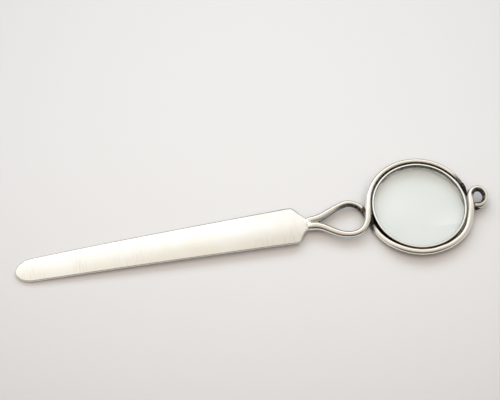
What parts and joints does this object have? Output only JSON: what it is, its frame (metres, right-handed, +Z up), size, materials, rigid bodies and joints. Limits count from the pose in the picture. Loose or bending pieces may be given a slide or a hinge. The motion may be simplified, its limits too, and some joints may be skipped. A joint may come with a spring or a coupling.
{
  "type": "paper knife with magnifier",
  "caption": "Silver paper knife with a long rounded blade, a twisted wire eye and a round bezel-set reading lens with a small hanging loop.",
  "frame": {"origin": "under the middle of the bounding box, on the surface that the object lies on", "axes": "+X runs from the blade's tip towards the hanging loop, +Z up out of the lens's upper face"},
  "size_m": [0.2208, 0.0502, 0.0061],
  "materials": {
    "blade_silver": "polished silver with fine handling scratches",
    "wire_silver": "polished silver wire, a little tarnished",
    "bezel_silver": "polished silver rim over a tarnished wall",
    "lens_glass": "clear polished glass",
    "dark_solder": "oxidised silver solder, dull dark brown"
  },
  "bodies": {
    "root": {"blade": "blade_silver", "over_wire": "wire_silver", "under_wire": "wire_silver", "lens_bezel": "bezel_silver", "bearer_ring": "bezel_silver", "lens": "lens_glass", "neck_solder": "wire_silver", "fork_solder": "dark_solder", "crossing_solder": "dark_solder", "end_solder": "dark_solder", "loop_solder": "dark_solder", "over_seam_solder": "dark_solder", "under_seam_solder": "dark_solder"}
  },
  "joints": []
}
